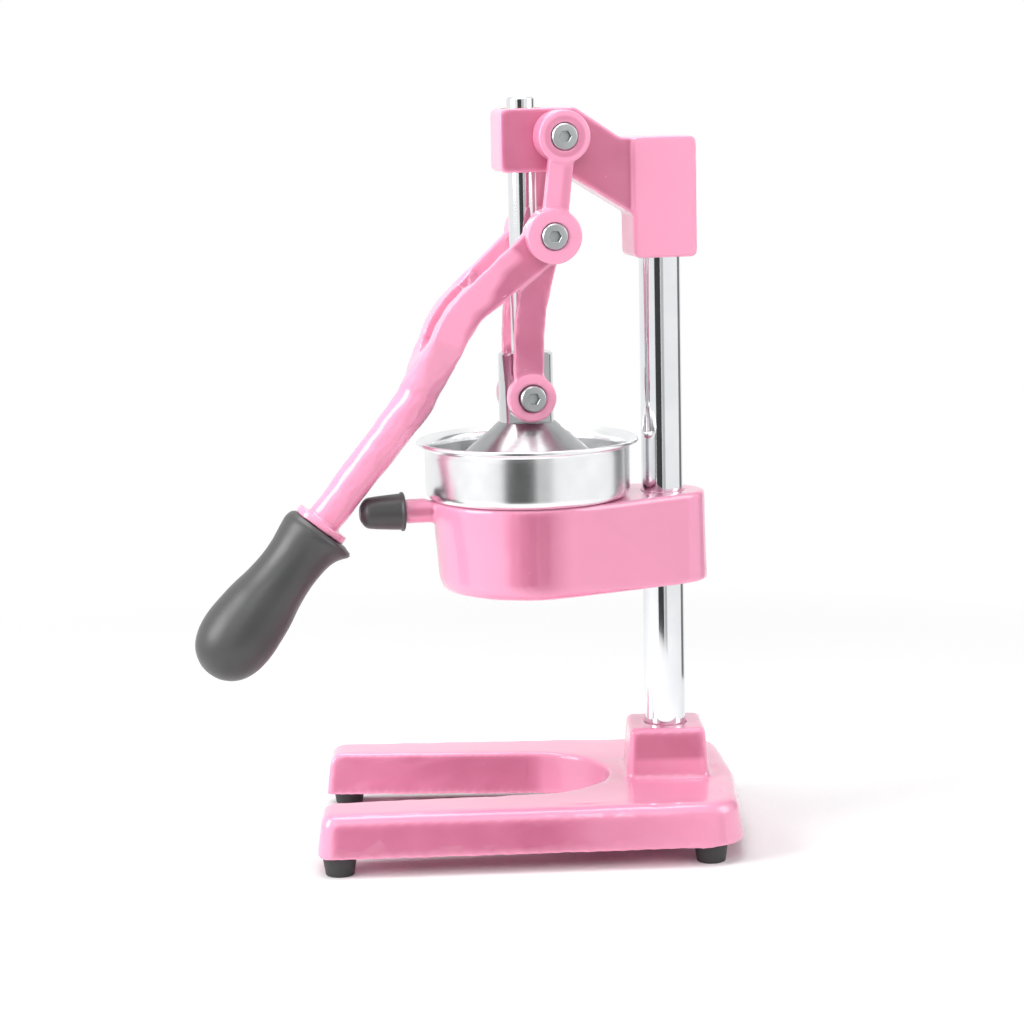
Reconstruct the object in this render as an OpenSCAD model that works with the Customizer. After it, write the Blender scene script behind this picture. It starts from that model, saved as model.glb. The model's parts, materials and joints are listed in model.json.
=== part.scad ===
// Lever citrus juice press: a cast horseshoe base, a steel post, a bowl holder, a head that
// guides a press rod, and a long lever that drives the rod through a toggle linkage.
// Millimetres, +Z up, the lever points to -X. The origin is the middle of the footprint on the
// surface that the feet stand on. Inside the modules x is measured from the post's axis.

/* [Overall] */
// height of the head's top above the surface
head_top = 389; // [300:1:480]
// radius of the post
post_r = 11; // [9:0.5:14]
// turn of the base about the post, seen from above
base_turn = 10; // [0:1:20]

/* [Base] */
// length of the base in front of the post's axis
base_front = 186; // [140:1:240]
// length of the base behind the post's axis
base_rear = 39.5; // [30:0.5:60]
// half the width of the base at its front
base_half = 85; // [70:1:110]
// how much narrower each side is at the rear
base_taper = 5; // [0:0.5:12]
// height of the legs' top above the surface
base_top = 33; // [28:1:45]
// draft of the outer walls
base_draft = 3; // [1:0.5:6]
// radius of the front corners
front_corner_r = 10; // [6:0.5:16]
// radius of the rear corners
rear_corner_r = 24; // [16:1:34]
// round of the top edges
base_edge_r = 5; // [2:0.5:8]
// half width of the slot between the legs, at its round end
slot_r = 42; // [34:1:50]
// half width of the slot at the front
slot_front = 54; // [44:1:60]
// distance from the post's axis to the centre of the slot's round end
slot_centre = 76; // [66:1:100]
// height of the post's socket above the surface
socket_top = 60; // [48:1:80]
// half width of the socket's top
socket_half = 19; // [16:0.5:26]
// half width of the socket's foot
socket_foot = 23; // [18:0.5:32]
// depth of the pockets under the legs
pocket_depth = 14; // [6:1:18]
// radius of the pockets' ends
pocket_r = 9; // [5:0.5:10]

/* [Feet] */
// height of a rubber foot
foot_h = 10; // [6:0.5:16]
// radius of a foot where it meets the base
foot_r = 9; // [7:0.5:12]
// radius of a foot on the surface
foot_low_r = 7.5; // [6:0.5:10]
// radius of the screws in the feet
foot_screw_r = 2; // [1.5:0.25:3]

/* [Post and head] */
// wall of the base under the post
post_floor = 10; // [8:0.5:14]
// length of the head's sleeve on the post
sleeve_len = 63; // [45:1:90]
// how far the sleeve's top lies below the head's top
head_drop = 16; // [10:0.5:22]
// thickness of the head over the post's end
cap_t = 7; // [5:0.5:10]
// depth of the web between the guide block and the sleeve
web_drop = 23; // [14:0.5:30]
// length of the slope from the guide block to the sleeve's top
slope_run = 24; // [16:0.5:30]
// round of the head's edges
head_round = 3.5; // [1.5:0.25:5]
// half the head's thickness at the guide
head_half = 13.5; // [12:0.25:16]
// half the thickness of the sleeve block
sleeve_half = 15.2; // [14:0.1:16]
// depth of the sleeve block, front to rear
sleeve_depth = 34; // [28:1:44]
// depth of the guide block
guide_depth = 33; // [28:1:40]
// outer radius of the guide bush
bush_r = 10; // [9:0.25:11]
// gap between the rod and the bush, which takes the sideways play of the linkage
rod_play = 0.85; // [0.8:0.05:1.2]

/* [Linkage] */
// distance of the upper pivot behind the rod's axis
pivot_back = 16.5; // [14:0.5:20]
// distance of the upper pivot below the head's top
pivot_drop = 14.5; // [13:0.5:18]
// length of the links between their pivots
link_len = 51; // [44:0.5:60]
// length of the lever's arms from the elbow to the lower pivot
arm_len = 85; // [76:0.5:100]
// width of a link
link_w = 13; // [10:0.5:18]
// thickness of a link
link_t = 6.5; // [5:0.25:9]
// radius of the links' elbow bosses
elbow_r = 14.3; // [12:0.1:16]
// radius of the links' upper bosses
boss_r = 13.6; // [11:0.1:14]
// radius of the pivot bolts
bolt_r = 4; // [3:0.25:5]
// clearance between bodies that move beside each other
side_gap = 0.3; // [0.3:0.05:0.5]
// radial clearance of a pivot on its bolt
run_fit = 0.1; // [0.05:0.01:0.1]
// clearance between the sleeve block and the lever's cheeks
fork_gap = 1.2; // [1.2:0.1:2]
// radius of the lever's bosses at the lower pivot
low_r = 13; // [10:0.1:14]
// thickness of those bosses
low_t = 8.9; // [7:0.1:11]

/* [Lever] */
// thickness of the lever's cheeks and arms
cheek_t = 6.5; // [5:0.25:9]
// width of the arms below the elbow
arm_w = 16.5; // [12:0.5:18]
// how far the arms bow towards the front
arm_bow = 5.5; // [3:0.5:10]
// width of the forked part of the stem
fork_w = 18; // [14:0.5:22]
// height of the fork's upper edge above the line through the elbow
fork_rise = 7; // [4:0.5:10]
// how much higher that edge is at the elbow
fork_lift = 3.5; // [1:0.5:5]
// radius of the round stem
stem_r = 9.3; // [8:0.1:13]
// radius of the stem's collar
collar_r = 15; // [12:0.5:18]
// thickness of the collar
collar_t = 4.5; // [3:0.5:8]

/* [Grip] */
// length of the grip
grip_len = 95; // [80:1:120]
// greatest radius of the grip
grip_r = 20.3; // [16:0.1:24]
// length of the steel tang inside the grip
tang_len = 62; // [40:1:75]
// radius of the tang
tang_r = 6; // [4.5:0.25:7]

/* [Press rod and bell] */
// radius of the press rod
rod_r = 7.3; // [6:0.1:8]
// radius of the column under the rod
column_r = 14.3; // [12:0.1:16]
// half the thickness between the column's flats
flat_half = 9.3; // [8.5:0.1:10]
// height of the column
column_h = 36.6; // [30:0.1:44]
// distance from the lower pivot down to the bell
column_foot = 13.6; // [13.6:0.1:16]
// distance from the lower pivot up to the rod's end in the column
rod_seat = 7.5; // [6.5:0.25:10]
// length of rod that stands out of the head at rest
rod_stub = 5.5; // [2:0.5:12]
// gap between the bell's rim and the bowl's wall
bell_gap = 4.5; // [3:0.25:8]
// height of the bell
bell_h = 30; // [24:1:36]
// thickness of the bell's wall
bell_t = 2.5; // [1.5:0.25:3.5]

/* [Bowl, strainer and holder] */
// radius of the bowl's wall
bowl_r = 54; // [46:0.5:64]
// how far the bowl's lip flares out
lip_w = 4.6; // [3:0.1:6]
// gap between the bowl's rim and the post
rim_gap = 3.4; // [1:0.1:8]
// height of the bowl's wall above the holder
bowl_h = 30; // [24:1:40]
// thickness of the bowl's steel
bowl_t = 1.2; // [0.8:0.1:2]
// height of the strainer
strainer_h = 31; // [24:0.5:32]
// radius of the strainer's holes
strain_hole_r = 2; // [1.25:0.25:2.5]
// number of holes in each ring of the strainer
strain_count = 18; // [12:1:22]
// height of the bell's rim above the holder's deck at rest
bell_lift = 9.9; // [7:0.1:12]
// height of the holder's cup
cup_h = 49; // [40:1:60]
// how far the cup's wall stands inside the bowl's
cup_step = 3; // [2:0.25:5]
// draft of the cup's wall
cup_draft = 3; // [1:0.25:6]
// radius of the holder's boss round the post
hub_r = 22.5; // [18:0.5:26]
// radius of the opening under the spout
outlet_r = 20; // [16:0.5:24]
// radius of the spout
spout_r = 12; // [9:0.5:15]
// radius of the bar that carries the knob
stub_r = 6.7; // [5.5:0.1:8]
// length of that bar in front of the cup
stub_len = 15.3; // [10:0.1:24]
// length of the knob
knob_len = 23.3; // [18:0.1:30]
// radius of the knob's open end
knob_r = 10.2; // [8.5:0.1:13]

/* [Hidden] */
$fn = 72;
hull_fn = 32;
eps = 0.01 * post_r;
fit = 0.003 * post_r;
hex_sides = 6;
chamfer = 0.1 * post_r;
steel = [0.80, 0.81, 0.83];
chrome = [0.88, 0.89, 0.91];
paint = [0.96, 0.56, 0.72];
rubber = [0.22, 0.22, 0.23];

// sizes of the fasteners
bolt_head_r = 1.6125 * bolt_r;
bolt_head_h = 1.4 * bolt_r;
bolt_seat_r = 1.75 * bolt_r;
bolt_key_r = 0.866 * bolt_r;
nut_h = 1.625 * bolt_r;
nut_r = 1.876 * bolt_r;
nut_seat_r = 2.05 * bolt_r;
bolt_tail = 0.25 * bolt_r;
turn_r = bolt_r + run_fit;
post_bolt_r = 0.45 * post_r;
post_bolt_head_r = 0.84 * post_r;
post_bolt_head_h = 0.55 * post_r;
post_bolt_len = 2.4 * post_r;
washer_r = 0.95 * post_r;
washer_t = 0.18 * post_r;
seat_depth = 0.36 * post_r;
seat_r = 1.18 * post_r;
set_r = 0.27 * post_r;
set_key_r = 0.15 * post_r;
set_len = 0.5 * post_r;

// the bowl sets the reach from the post to the rod
rim_r = bowl_r + lip_w;
bell_r = bowl_r - bell_gap;
cup_r = bowl_r - cup_step;
cup_foot_r = cup_r - cup_draft;
reach = rim_r + rim_gap + post_r;

// the base
base_z = foot_h;
post_z = base_z + post_floor;
base_h = base_top - base_z;
rear_half = base_half - base_taper;
front_u = -(base_front - front_corner_r);
front_v = base_half - front_corner_r;
rear_u = base_rear - rear_corner_r - base_draft;
rear_v = rear_half - rear_corner_r;
bulge_r = 1.25 * rear_corner_r;
bulge_u = base_rear - bulge_r;
slot_flare = 0.08 * slot_r;
slot_run = base_front + slot_r;
foot_front_u = -(base_front - 1.3 * foot_r);
foot_front_v = base_half - 1.25 * foot_r;
foot_rear_u = base_rear - 2.35 * foot_r;
foot_rear_v = rear_half - 1.6 * foot_r;
foot_head_r = 1.8 * foot_screw_r;
foot_head_h = 1.2 * foot_screw_r;
foot_well_r = 2.1 * foot_screw_r;
foot_well_h = 0.4 * foot_h;
foot_wall = foot_h - foot_well_h;
foot_screw_deep = 0.48 * base_h;
pocket_front_u = -(base_front - 5 * pocket_r);
pocket_rear_u = -3.4 * pocket_r;
pocket_front_v = 0.5 * (base_half + slot_front) - 0.3;
pocket_rear_v = 0.5 * (rear_half + slot_r) + 0.5;

// the head, with x from the rod's axis
head_rear_top = head_top - head_drop;
head_bottom = head_rear_top - sleeve_len;
head_bore_top = head_rear_top - cap_t;
nose_x = -0.42 * guide_depth;
guide_rear_x = 0.58 * guide_depth;
guide_h = guide_depth;
guide_bottom = head_top - guide_h;
sleeve_x = reach - sleeve_depth / 2;
sleeve_end_x = reach + sleeve_depth / 2;
brow_x = sleeve_x - 0.18 * sleeve_depth;
slope_x = brow_x - slope_run;
web_bottom = guide_bottom - web_drop;
bush_in_r = rod_r + rod_play;
set_z = head_bottom + sleeve_len / 2;

// the linkage, seen from the near side, with x from the rod's axis
pivot_z = head_top - pivot_drop;
rest_lean = asin(pivot_back / (link_len + arm_len));
elbow_x = pivot_back - link_len * sin(rest_lean);
elbow_z = pivot_z - link_len * cos(rest_lean);
low_z = elbow_z - arm_len * cos(rest_lean);
cheek_in = sleeve_half + fork_gap;
cheek_out = cheek_in + cheek_t;
link_in = cheek_out + side_gap;
link_out = link_in + link_t;
boss_in = head_half + side_gap;
boss_out = link_out + 0.25 * link_t;
elbow_out = link_out + 0.4 * link_t;
seat_cut = 1.25 * bolt_r;
top_seat = boss_out - seat_cut;
elbow_seat = elbow_out - seat_cut;
low_in = flat_half + side_gap;
low_out = low_in + low_t;
low_seat = low_out - 0.4 * low_t;
cheek_mid = cheek_in + 0.5 * cheek_t;
arm_t = 0.88 * cheek_t;
arm_top_mid = cheek_in + 0.52 * cheek_t;
arm_low_mid = low_in + 0.5 * low_t;
arm_toe = atan((arm_top_mid - arm_low_mid) / arm_len);
bow_r = (arm_len * arm_len / 4 + arm_bow * arm_bow) / (2 * arm_bow);
bow_half = asin(arm_len / 2 / bow_r);

// the stem's path: a straight fork, a bend down, a straight, a bend back and a last straight,
// each lean measured below the horizontal that points to the front
stem_lean = 38;
bend_lean = 67.8;
last_lean = 50.7;
grip_lean = 51.3;
fork_run = 0.59 * arm_len;
bend_r = 0.61 * arm_len;
mid_run = 0.35 * arm_len;
back_r = 0.365 * arm_len;
last_run = 0.885 * arm_len;
bend_x = elbow_x - fork_run * cos(stem_lean);
bend_z = elbow_z - fork_run * sin(stem_lean);
bend_cx = bend_x + bend_r * sin(stem_lean);
bend_cz = bend_z - bend_r * cos(stem_lean);
crotch_x = bend_cx - bend_r * sin(bend_lean);
crotch_z = bend_cz + bend_r * cos(bend_lean);
mid_x = crotch_x - mid_run * cos(bend_lean);
mid_z = crotch_z - mid_run * sin(bend_lean);
back_cx = mid_x - back_r * sin(bend_lean);
back_cz = mid_z + back_r * cos(bend_lean);
last_x = back_cx + back_r * sin(last_lean);
last_z = back_cz - back_r * cos(last_lean);
collar_x = last_x - last_run * cos(last_lean);
collar_z = last_z - last_run * sin(last_lean);
slab_t = 0.15 * cheek_t;
neck_r = 1.14 * stem_r;
notch_r = rod_r + 0.4 * cheek_t;
seam = 0.1 * stem_r;
seam_turn = atan(seam / back_r);
inset = 0.03 * cheek_t;
throat_in = rod_r + 0.37 * cheek_t;
throat_run = 0.76 * fork_run;
branch_t = cheek_t - 2 * inset;

// the grip: share of its length from the collar, share of its greatest radius
grip_shares = [
    [0.000, 0.79], [0.012, 0.86], [0.035, 0.89], [0.066, 0.885], [0.100, 0.86], [0.150, 0.81],
    [0.210, 0.775], [0.280, 0.765], [0.350, 0.785], [0.420, 0.82], [0.480, 0.87], [0.540, 0.92],
    [0.600, 0.96], [0.660, 0.985], [0.720, 1.000], [0.770, 0.985], [0.820, 0.945],
    [0.865, 0.885], [0.905, 0.795], [0.940, 0.675], [0.968, 0.515], [0.988, 0.330], [1.000, 0]
];
lip_shares = [[0.004, 0.78], [0.008, 0.92], [0.030, 0.965], [0.055, 0.93], [0.090, 0.85],
    [0.150, 0.76]];
lip_shift = 0.085 * grip_r;
grip_x = collar_x - collar_t * cos(grip_lean);
grip_z = collar_z - collar_t * sin(grip_lean);

// the press rod, the column and the bell
bell_z = low_z - column_foot;
rod_foot = low_z + rod_seat;
rod_top = head_top + rod_stub;
bell_neck_r = 1.05 * column_r;
bell_knee_r = 0.626 * bell_r;
bell_knee_z = bell_z - 0.467 * bell_h;
bell_screw_r = 0.17 * column_r;
bell_screw_in = 0.42 * column_r;
bell_head_r = 0.315 * column_r;
bell_head_h = 0.2 * column_r;

// the bowl, the strainer and the holder, with x from the rod's axis
deck_z = bell_z - bell_h - bell_lift;
floor_z = deck_z + bowl_t;
bowl_top = deck_z + bowl_h;
corner_r = 0.11 * bowl_r;
flare_r = rim_r - bowl_r;
bead_r = 0.75 * bowl_t;
seat_in_r = 0.88 * cup_r;
funnel_r = 1.17 * spout_r;
funnel_z = deck_z - 0.53 * cup_h;
spout_z = deck_z - 0.94 * cup_h;
cup_z = deck_z - cup_h;
cup_floor = cup_z + 0.27 * cup_h;
cup_round = 0.14 * cup_h;
deck_edge = 0.02 * cup_h;
seat_cut_r = 1.007 * bowl_r;
stub_z = deck_z - 0.75 * stub_r;
peg_r = 0.74 * stub_r;
peg_len = 0.6 * knob_len;
strainer_foot_r = 0.85 * bell_r;
strainer_top_r = 0.22 * bell_r;
strainer_seat_r = 0.98 * bell_r;
strain_rows = 3;
hub_set_z = cup_z + cup_h / 2;

// radius of one ring of holes in the strainer
function strain_ring_r(row) =
    strainer_top_r + (row + 1) * (strainer_foot_r - strainer_top_r) / (strain_rows + 0.9);

// extremes of the footprint, which set the origin
turn_c = cos(base_turn);
turn_s = sin(base_turn);
x_rear = rear_u * turn_c + rear_v * turn_s + rear_corner_r;
x_front = min([for (p = grip_shares)
    grip_x - reach - p[0] * grip_len * cos(grip_lean) - p[1] * grip_r * sin(grip_lean)]);
y_far = -front_u * turn_s + front_v * turn_c + front_corner_r;
y_near = -rear_u * turn_s - rear_v * turn_c - rear_corner_r;
origin_x = (x_rear + x_front) / 2;
origin_y = (y_far + y_near) / 2;

// places everything in the part's frame
module press() {
    translate([-origin_x, -origin_y, 0]) children();
}

// the base's own frame, turned about the post
module base_frame() {
    press() rotate([0, 0, -base_turn]) children();
}

// the frame of the press rod
module rod_frame() {
    press() translate([-reach, 0, 0]) children();
}

// the frame of one pivot, with its axis along Y
module pivot(x, z) {
    rod_frame() translate([x, 0, z]) children();
}

// a cylinder along Y, on the near side (side -1) or the far side (side 1)
module along_y(r, y0, y1, side = 1) {
    mirror([0, side < 0 ? 1 : 0, 0])
        translate([0, y0, 0]) rotate([-90, 0, 0]) cylinder(r = r, h = y1 - y0);
}

// a plate whose outline is drawn in x and z, from y0 to y1 on one side
module plate(y0, y1, side = 1) {
    mirror([0, side < 0 ? 1 : 0, 0])
        translate([0, y1, 0]) rotate([90, 0, 0]) linear_extrude(y1 - y0) children();
}

// a disc with drafted sides and a round top edge, the corner of a cast block
module puck(r, h, draft, edge) {
    rotate_extrude($fn = hull_fn)
        polygon([[0, 0], [r, 0], [r - draft * (h - edge) / h, h - edge],
            [r - draft - edge * 0.29, h - edge * 0.29], [r - draft - edge, h], [0, h]]);
}

// a socket head bolt along +Z, its head below z = 0
module socket_bolt(r, len, head_r, head_h, key_r) {
    difference() {
        union() {
            translate([0, 0, -head_h]) cylinder(r = head_r, h = head_h);
            cylinder(r = r, h = len - chamfer / 2);
            translate([0, 0, len - chamfer / 2])
                cylinder(r1 = r, r2 = r - chamfer / 2, h = chamfer / 2);
        }
        translate([0, 0, -head_h - eps])
            cylinder(r = key_r, h = head_h * 0.55, $fn = hex_sides);
    }
}

// the place of each foot in the base's own frame
module at_foot(u, v) {
    base_frame() translate([u, v, 0]) children();
}

module base_body() {
    hull() {
        for (v = [-1, 1]) {
            translate([front_u, v * front_v, base_z])
                puck(front_corner_r, base_h, base_draft, base_edge_r);
            translate([rear_u, v * rear_v, base_z])
                puck(rear_corner_r, base_h, base_draft, base_edge_r);
        }
        translate([bulge_u, 0, base_z]) puck(bulge_r, base_h, base_draft, base_edge_r);
    }
    hull() {
        for (u = [-1, 1])
            for (v = [-1, 1])
                translate([u * (socket_foot - base_edge_r), v * (socket_foot - base_edge_r), base_z])
                    puck(base_edge_r + 1, socket_top - base_z, socket_foot - socket_half, 2);
    }
}

module slot_cutter() {
    hull() {
        translate([-slot_centre, 0, base_z - eps])
            cylinder(r1 = slot_r, r2 = slot_r + slot_flare, h = base_h + 2 * eps, $fn = 2 * hull_fn);
        for (v = [-1, 1])
            translate([-slot_run, v * (slot_front - chamfer), base_z - eps])
                cylinder(r1 = chamfer, r2 = chamfer + slot_flare, h = base_h + 2 * eps, $fn = hull_fn);
    }
}

module foot_sites() {
    for (v = [-1, 1]) {
        translate([foot_front_u, v * foot_front_v, 0]) children();
        translate([foot_rear_u, v * foot_rear_v, 0]) children();
    }
}

// the horseshoe base with its post socket, pockets under the legs and holes for the feet
module base() {
    color(paint) base_frame() difference() {
        base_body();
        slot_cutter();
        for (v = [-1, 1])
            hull() {
                translate([pocket_front_u, v * pocket_front_v, base_z - eps])
                    cylinder(r = pocket_r, h = pocket_depth + eps, $fn = hull_fn);
                translate([pocket_rear_u, v * pocket_rear_v, base_z - eps])
                    cylinder(r = pocket_r, h = pocket_depth + eps, $fn = hull_fn);
            }
        translate([0, 0, post_z]) cylinder(r = post_r + fit, h = socket_top);
        translate([0, 0, base_z - eps]) cylinder(r = post_bolt_r + fit, h = socket_top - base_z);
        translate([0, 0, base_z - eps]) cylinder(r = seat_r, h = seat_depth + eps);
        foot_sites() translate([0, 0, base_z - eps])
            cylinder(r = foot_screw_r + fit, h = foot_screw_deep + eps);
    }
}

// a rubber foot with a well for its screw
module foot_at(u, v) {
    color(rubber) at_foot(u, v) difference() {
        cylinder(r1 = foot_low_r, r2 = foot_r, h = foot_h);
        translate([0, 0, -eps]) cylinder(r = foot_screw_r + fit, h = foot_h + 2 * eps);
        translate([0, 0, -eps]) cylinder(r = foot_well_r, h = foot_well_h + eps);
    }
}

module foot_near_front() {
    foot_at(foot_front_u, -foot_front_v);
}

module foot_far_front() {
    foot_at(foot_front_u, foot_front_v);
}

module foot_near_rear() {
    foot_at(foot_rear_u, -foot_rear_v);
}

module foot_far_rear() {
    foot_at(foot_rear_u, foot_rear_v);
}

// the four screws that hold the feet
module foot_screws() {
    color(steel) base_frame() foot_sites() translate([0, 0, foot_well_h])
        socket_bolt(foot_screw_r, foot_wall + 0.9 * foot_screw_deep, foot_head_r, foot_head_h,
            foot_screw_r * 0.8);
}

// the steel post, with a tapped hole in its foot and a chamfer at each end
module post() {
    color(chrome) press() difference() {
        union() {
            translate([0, 0, post_z]) cylinder(r1 = post_r - chamfer, r2 = post_r, h = chamfer);
            translate([0, 0, post_z + chamfer])
                cylinder(r = post_r, h = head_bore_top - post_z - 2 * chamfer);
            translate([0, 0, head_bore_top - chamfer])
                cylinder(r1 = post_r, r2 = post_r - chamfer, h = chamfer);
        }
        translate([0, 0, post_z - eps]) cylinder(r = post_bolt_r + fit, h = post_bolt_len);
    }
}

// the bolt that pulls the post into its socket
module post_bolt() {
    color(steel) press() translate([0, 0, base_z + seat_depth - washer_t]) {
        cylinder(r = post_bolt_r, h = post_bolt_len);
        translate([0, 0, -post_bolt_head_h])
            cylinder(r = post_bolt_head_r, h = post_bolt_head_h, $fn = hex_sides);
    }
}

module post_washer() {
    color(steel) press() translate([0, 0, base_z + seat_depth - washer_t]) difference() {
        cylinder(r = washer_r, h = washer_t);
        translate([0, 0, -eps]) cylinder(r = post_bolt_r + fit, h = washer_t + 2 * eps);
    }
}

// side outline of the head, with x from the rod's axis
module head_outline() {
    offset(r = head_round, $fn = hull_fn) offset(delta = -head_round)
        polygon([[nose_x, head_top], [slope_x, head_top], [brow_x, head_rear_top],
            [sleeve_end_x, head_rear_top], [sleeve_end_x, head_bottom], [sleeve_x, head_bottom],
            [sleeve_x, web_bottom], [guide_rear_x, guide_bottom], [nose_x, guide_bottom]]);
}

module sleeve_outline() {
    offset(r = head_round, $fn = hull_fn) offset(delta = -head_round)
        translate([sleeve_x, head_bottom])
            square([sleeve_depth, head_rear_top - head_bottom]);
}

// the cast head: a sleeve on the post and a guide block over the press
module head() {
    color(paint) difference() {
        rod_frame() union() {
            plate(-head_half, head_half) head_outline();
            plate(-sleeve_half, sleeve_half) sleeve_outline();
        }
        press() translate([0, 0, head_bottom - eps])
            cylinder(r = post_r + fit, h = head_bore_top - head_bottom + eps);
        rod_frame() translate([0, 0, guide_bottom - eps])
            cylinder(r = bush_r + fit, h = guide_h + 2 * eps);
        pivot(pivot_back, pivot_z) along_y(bolt_r + fit, -sleeve_half, sleeve_half);
        press() translate([0, 0, set_z]) rotate([0, 90, 0])
            cylinder(r = set_r + fit, h = sleeve_depth);
    }
}

// a short socket set screw along +X, its tip on the post
module set_screw(z, len) {
    color(steel) press() translate([post_r, 0, z]) rotate([0, 90, 0]) difference() {
        cylinder(r = set_r, h = len);
        translate([0, 0, len * 0.5]) cylinder(r = set_key_r, h = len, $fn = hex_sides);
    }
}

module head_set_screw() {
    set_screw(set_z, set_len);
}

// the bronze bush that guides the press rod
module guide_bush() {
    color([0.72, 0.55, 0.30]) rod_frame() translate([0, 0, guide_bottom]) difference() {
        cylinder(r = bush_r, h = guide_h);
        translate([0, 0, -eps]) cylinder(r = bush_in_r, h = guide_h + 2 * eps);
    }
}

// the outside of the bowl holder: a cup that flows into the boss round the post
module holder_body() {
    hull() {
        rod_frame() translate([0, 0, cup_z]) rotate_extrude($fn = 2 * hull_fn)
            polygon([[0, 0], [cup_foot_r - cup_round, 0],
                [cup_foot_r - cup_round * 0.29, cup_round * 0.29], [cup_foot_r, cup_round],
                [cup_r, cup_h - deck_edge], [cup_r - deck_edge, cup_h], [0, cup_h]]);
        press() translate([0, 0, cup_z + deck_edge])
            puck(hub_r + deck_edge, cup_h - deck_edge, deck_edge, deck_edge);
    }
    rod_frame() translate([0, 0, stub_z]) rotate([0, -90, 0])
        cylinder(r = stub_r, h = cup_r + stub_len);
    rod_frame() translate([0, 0, stub_z]) rotate([0, -90, 0])
        cylinder(r = peg_r, h = cup_r + stub_len + peg_len);
}

// the hollow of the holder under the bowl
module holder_hollow() {
    rod_frame() translate([0, 0, deck_z]) cylinder(r = seat_cut_r, h = stub_r);
    rod_frame() rotate_extrude()
        polygon([[0, deck_z + eps], [seat_in_r, deck_z + eps], [0.98 * seat_in_r, deck_z - 0.16 * cup_h],
            [0.82 * seat_in_r, cup_floor], [0, cup_floor]]);
    rod_frame() translate([0, 0, cup_z - eps]) cylinder(r = outlet_r, h = cup_h);
}

// the cast bowl holder, clamped on the post
module holder() {
    color(paint) difference() {
        holder_body();
        holder_hollow();
        press() translate([0, 0, cup_z - eps]) cylinder(r = post_r + fit, h = cup_h + 2 * eps);
        press() translate([0, 0, hub_set_z]) rotate([0, 90, 0])
            cylinder(r = set_r + fit, h = 2 * hub_r);
    }
}

module holder_set_screw() {
    set_screw(hub_set_z, 1.8 * set_len);
}

// the rubber knob on the holder's bar
module holder_knob() {
    color(rubber) rod_frame() translate([-cup_r - stub_len - side_gap, 0, stub_z])
        rotate([0, -90, 0]) difference() {
            rotate_extrude()
                polygon([[0, 0], [knob_r, 0], [knob_r, knob_len * 0.06],
                    [knob_r * 0.95, knob_len * 0.1], [knob_r * 0.92, knob_len * 0.6],
                    [knob_r * 0.84, knob_len * 0.77], [knob_r * 0.68, knob_len * 0.89],
                    [knob_r * 0.42, knob_len * 0.97], [0, knob_len]]);
            translate([0, 0, -eps]) cylinder(r = peg_r + fit, h = peg_len + eps);
        }
}

// section of the bowl's seat, corner, wall and flared lip
module bowl_section() {
    difference() {
        union() {
            translate([seat_in_r - bowl_t, deck_z])
                square([bowl_r - seat_in_r - corner_r + bowl_t, bowl_t]);
            translate([bowl_r - corner_r, deck_z + corner_r]) intersection() {
                circle(r = corner_r);
                translate([0, -corner_r]) square(corner_r);
            }
            translate([bowl_r - bowl_t, deck_z + corner_r])
                square([bowl_t, bowl_h - corner_r - flare_r]);
            translate([rim_r, bowl_top - flare_r]) intersection() {
                circle(r = flare_r + bowl_t);
                translate([-flare_r - bowl_t, 0]) square([flare_r + bowl_t, flare_r + bowl_t]);
            }
        }
        translate([bowl_r - corner_r, deck_z + corner_r]) circle(r = corner_r - bowl_t);
        translate([rim_r, bowl_top - flare_r]) circle(r = flare_r);
    }
}

// the steel bowl: lip with a rolled bead, wall, seat, funnel and spout
module juice_bowl() {
    color(steel) rod_frame() {
        rotate_extrude() bowl_section();
        rotate_extrude() translate([rim_r - bead_r, bowl_top + bowl_t / 2])
            circle(r = bead_r, $fn = hull_fn);
        rotate_extrude() polygon([[seat_in_r - bowl_t, floor_z], [seat_in_r - bowl_t, deck_z],
            [funnel_r, funnel_z], [spout_r, funnel_z - bowl_t], [spout_r, spout_z],
            [spout_r - bowl_t, spout_z], [spout_r - bowl_t, funnel_z - bowl_t / 2],
            [funnel_r - bowl_t, funnel_z + bowl_t], [seat_in_r - 2 * bowl_t, floor_z]]);
    }
}

// the perforated cone that holds back pips and pulp
module strainer() {
    color(steel) rod_frame() translate([0, 0, floor_z]) difference() {
        rotate_extrude() polygon([[strainer_seat_r, 0], [strainer_seat_r, bowl_t],
            [strainer_foot_r + bowl_t, bowl_t], [strainer_top_r + bowl_t, strainer_h],
            [0, strainer_h], [0, strainer_h - bowl_t], [strainer_top_r, strainer_h - bowl_t],
            [strainer_foot_r, 0]]);
        for (row = [0:strain_rows - 1])
            for (n = [0:strain_count - 1])
                rotate([0, 0, (n + row / 2) * 360 / strain_count])
                    translate([strain_ring_r(row), 0, 0])
                        cylinder(r = strain_hole_r, h = 2 * strainer_h, $fn = hull_fn);
    }
}

// the polished rod that runs through the guide bush
module guide_rod() {
    color(chrome) rod_frame() {
        translate([0, 0, rod_foot]) cylinder(r = rod_r, h = rod_top - rod_foot - chamfer);
        translate([0, 0, rod_top - chamfer])
            cylinder(r1 = rod_r, r2 = rod_r - chamfer, h = chamfer);
    }
}

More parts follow.
